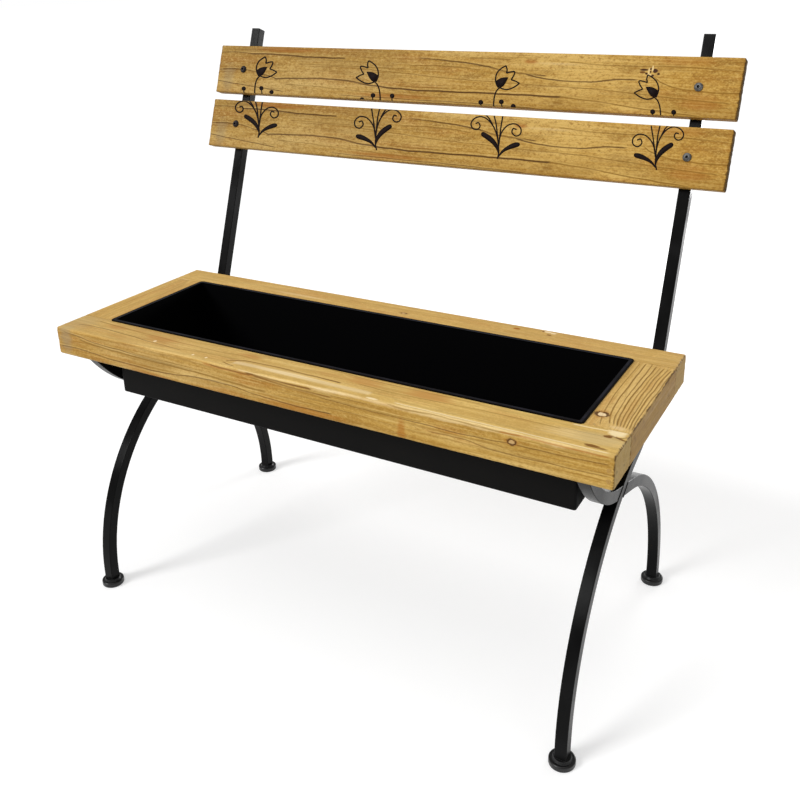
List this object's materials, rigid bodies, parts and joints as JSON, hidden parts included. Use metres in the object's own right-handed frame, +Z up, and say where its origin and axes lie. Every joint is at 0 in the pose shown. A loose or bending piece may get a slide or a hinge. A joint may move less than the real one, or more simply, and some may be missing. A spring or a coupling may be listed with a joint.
{
  "type": "bench with planter",
  "caption": "Outdoor bench with a framed wooden seat round a lift-out planting trough, a slatted wooden back and curved square-bar steel side frames on round feet.",
  "frame": {"origin": "on the floor, under the middle of the whole bench", "axes": "+X along the seat to the right as seen from the front, +Y from the front edge to the back, +Z up"},
  "size_m": [0.928, 0.536, 0.886],
  "materials": {
    "stained_wood": "honey brown stained softwood, satin varnish, dark grain and small cracks",
    "frame_paint": "charcoal powder coat, satin",
    "trough_paint": "black powder coat, satin",
    "fastener_steel": "darkened steel"
  },
  "bodies": {
    "bench": {"seat_front_board": "stained_wood", "seat_rear_board": "stained_wood", "seat_left_board": "stained_wood", "seat_right_board": "stained_wood", "lower_slat": "stained_wood", "upper_slat": "stained_wood", "left_main_bar": "frame_paint", "left_seat_arm": "frame_paint", "left_rear_leg": "frame_paint", "left_crossing_weld": "frame_paint", "left_front_tab": "frame_paint", "left_rear_tab": "frame_paint", "front_left_foot": "frame_paint", "rear_left_foot": "frame_paint", "right_main_bar": "frame_paint", "right_seat_arm": "frame_paint", "right_rear_leg": "frame_paint", "right_crossing_weld": "frame_paint", "right_front_tab": "frame_paint", "right_rear_tab": "frame_paint", "front_right_foot": "frame_paint", "rear_right_foot": "frame_paint", "seat_screws": "fastener_steel", "tab_screws": "fastener_steel", "slat_bolts": "fastener_steel", "slat_washers": "fastener_steel", "slat_nuts": "fastener_steel"},
    "planter": {"planter_trough": "trough_paint"}
  },
  "joints": [
    {"name": "trough_lift", "type": "slide", "parent": "bench", "child": "planter", "axis": [0, 0, 1], "range_m": [0, 0.2]}
  ]
}
